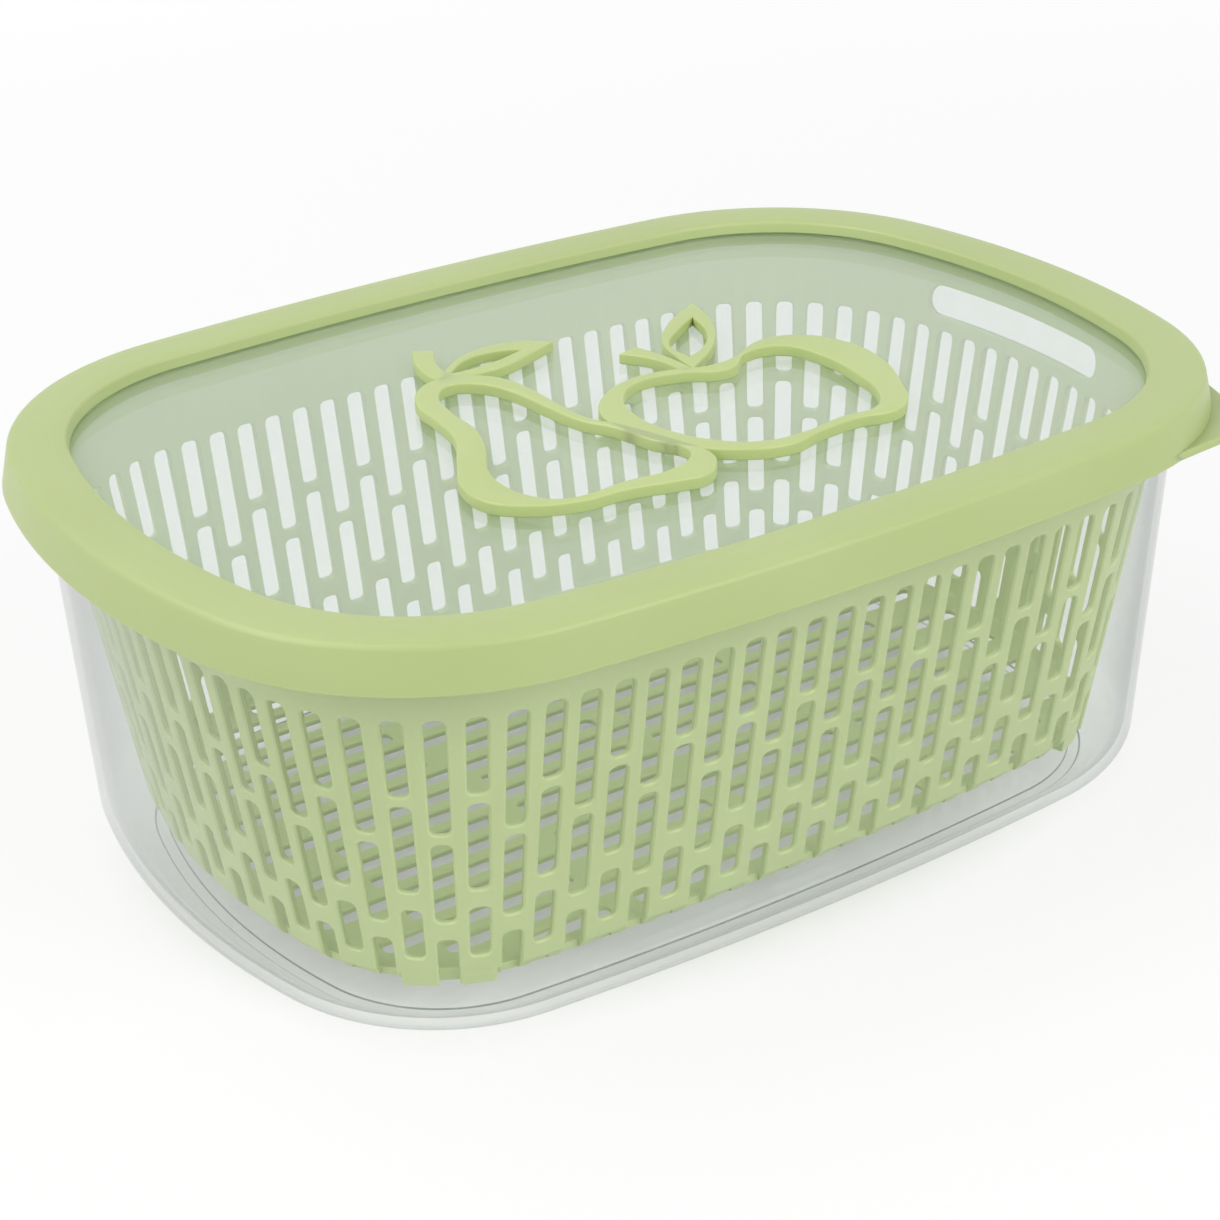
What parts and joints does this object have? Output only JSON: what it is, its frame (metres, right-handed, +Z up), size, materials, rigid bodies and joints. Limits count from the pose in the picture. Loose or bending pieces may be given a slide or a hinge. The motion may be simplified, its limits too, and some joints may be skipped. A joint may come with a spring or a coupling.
{
  "type": "produce keeper",
  "caption": "Clear tub with a slotted draining basket hung in its rim and a lift-off lid with a clear window and a raised fruit outline, for keeping fruit and vegetables",
  "frame": {"origin": "centre of the tub's foot, on the surface that it stands on", "axes": "+Z up, +X along the tub, +Y across it; the lid's pull tab is on the +X -Y corner"},
  "size_m": [0.3052, 0.2172, 0.1129],
  "materials": {
    "clear_tub": "clear moulded polystyrene, glossy",
    "green_basket": "moulded polypropylene, pale leaf green, satin",
    "green_lid": "moulded polypropylene, pale leaf green, satin",
    "clear_window": "clear moulded polystyrene, glossy",
    "green_grip": "moulded polypropylene, pale leaf green, satin"
  },
  "bodies": {
    "tub": {"container": "clear_tub", "basket": "green_basket"},
    "lid": {"lid_rim": "green_lid", "lid_window": "clear_window", "fruit_grip": "green_grip"}
  },
  "joints": [
    {"name": "lid_lift", "type": "slide", "parent": "tub", "child": "lid", "axis": [0, 0, 1], "range_m": [0, 0.15]}
  ]
}
